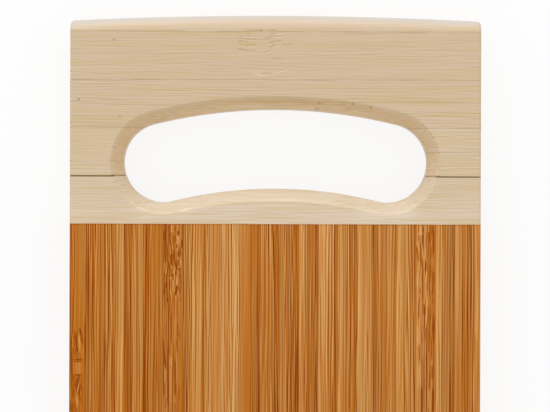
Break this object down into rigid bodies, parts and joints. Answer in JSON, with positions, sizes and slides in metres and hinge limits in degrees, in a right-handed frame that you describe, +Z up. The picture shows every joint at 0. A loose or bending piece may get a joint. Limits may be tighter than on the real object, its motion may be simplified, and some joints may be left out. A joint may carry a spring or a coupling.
{
  "type": "cutting board",
  "caption": "Flat two-tone bamboo cutting board with a bowed handle end and a bevelled, arched hand slot through its pale handle bar.",
  "frame": {"origin": "middle of the underside, on the counter", "axes": "+X across the board, +Y along the board towards the handle, +Z up from the counter"},
  "size_m": [0.152, 0.24, 0.018],
  "materials": {
    "caramel_bamboo": "oiled satin, steamed brown bamboo on edge",
    "natural_bamboo": "oiled satin, pale bamboo laid flat"
  },
  "bodies": {
    "root": {"field_strip_01": "caramel_bamboo", "field_strip_02": "caramel_bamboo", "field_strip_03": "caramel_bamboo", "field_strip_04": "caramel_bamboo", "field_strip_05": "caramel_bamboo", "field_strip_06": "caramel_bamboo", "field_strip_07": "caramel_bamboo", "field_strip_08": "caramel_bamboo", "field_strip_09": "caramel_bamboo", "field_strip_10": "caramel_bamboo", "field_strip_11": "caramel_bamboo", "field_strip_12": "caramel_bamboo", "field_strip_13": "caramel_bamboo", "field_strip_14": "caramel_bamboo", "field_strip_15": "caramel_bamboo", "field_strip_16": "caramel_bamboo", "field_strip_17": "caramel_bamboo", "field_strip_18": "caramel_bamboo", "field_strip_19": "caramel_bamboo", "field_strip_20": "caramel_bamboo", "field_strip_21": "caramel_bamboo", "field_strip_22": "caramel_bamboo", "handle_face_lower_strip": "natural_bamboo", "handle_face_left_cheek": "natural_bamboo", "handle_face_right_cheek": "natural_bamboo", "handle_face_arch_strip": "natural_bamboo", "handle_face_upper_strip": "natural_bamboo", "handle_face_crown_strip": "natural_bamboo", "handle_core_strip_1": "natural_bamboo", "handle_core_strip_2": "natural_bamboo", "handle_core_strip_3": "natural_bamboo", "handle_core_strip_4": "natural_bamboo", "handle_back_lower_strip": "natural_bamboo", "handle_back_left_cheek": "natural_bamboo", "handle_back_right_cheek": "natural_bamboo", "handle_back_arch_strip": "natural_bamboo", "handle_back_upper_strip": "natural_bamboo", "handle_back_crown_strip": "natural_bamboo", "foot_face_inner_strip": "natural_bamboo", "foot_face_outer_strip": "natural_bamboo", "foot_back_inner_strip": "natural_bamboo", "foot_back_outer_strip": "natural_bamboo", "foot_core_strip_1": "natural_bamboo", "foot_core_strip_2": "natural_bamboo"}
  },
  "joints": []
}
